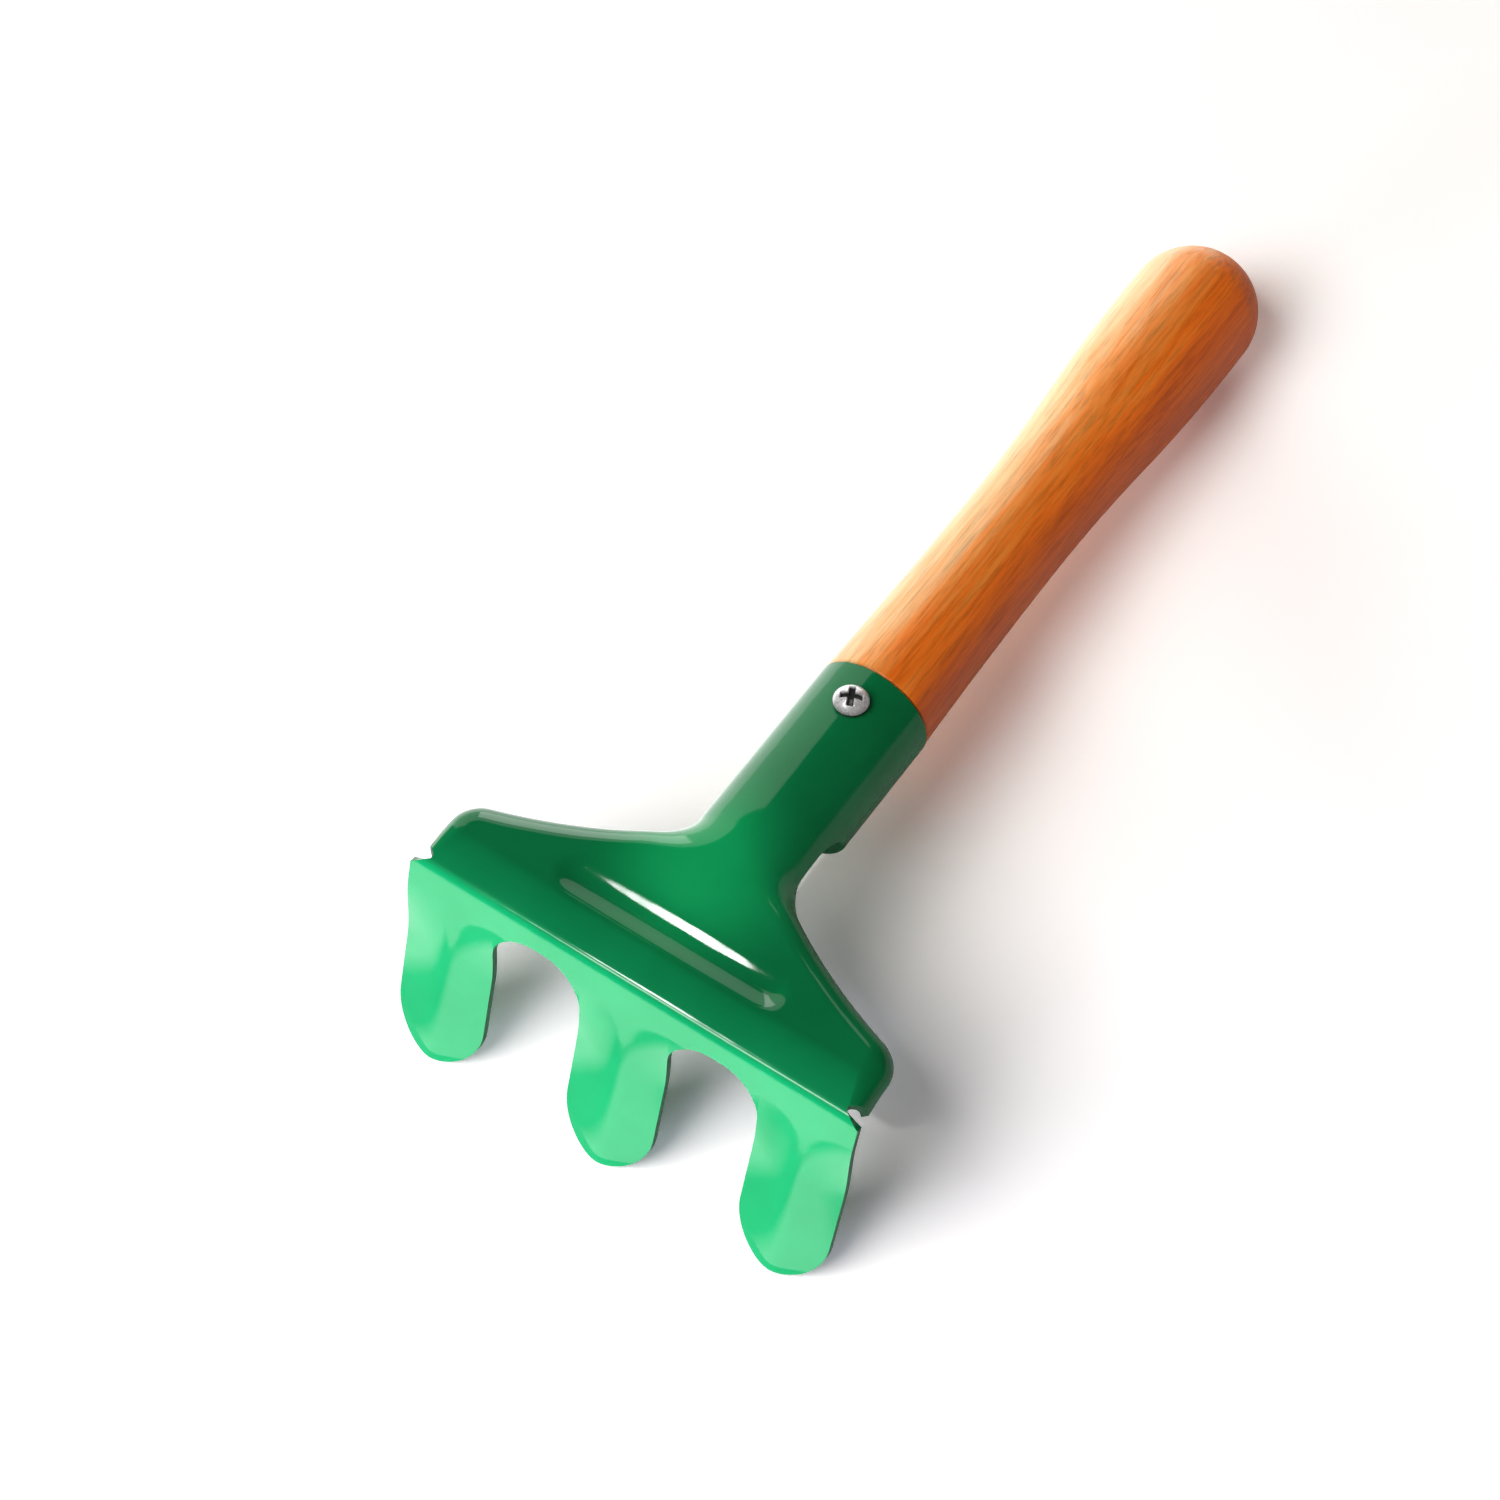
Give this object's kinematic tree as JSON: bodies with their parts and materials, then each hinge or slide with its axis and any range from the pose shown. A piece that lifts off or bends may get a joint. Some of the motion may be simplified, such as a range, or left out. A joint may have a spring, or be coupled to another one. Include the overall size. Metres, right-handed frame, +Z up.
{
  "type": "hand rake",
  "caption": "Small child's sand rake: pressed green sheet-metal head with round-tipped tines and a rolled socket, screwed to a turned wooden handle.",
  "frame": {"origin": "centre of the bounding box at the plane the rake lies on", "axes": "+X across the head to the right seen from behind the handle, +Y from the tines towards the butt of the handle, +Z up from the table"},
  "size_m": [0.0686, 0.1612, 0.033],
  "materials": {
    "green_paint": "glossy enamel on pressed steel",
    "wood": "clear lacquer over fine lengthwise grain",
    "zinc": "bright zinc plate"
  },
  "bodies": {
    "root": {"rake_head": "green_paint", "handle": "wood", "screw": "zinc"}
  },
  "joints": []
}
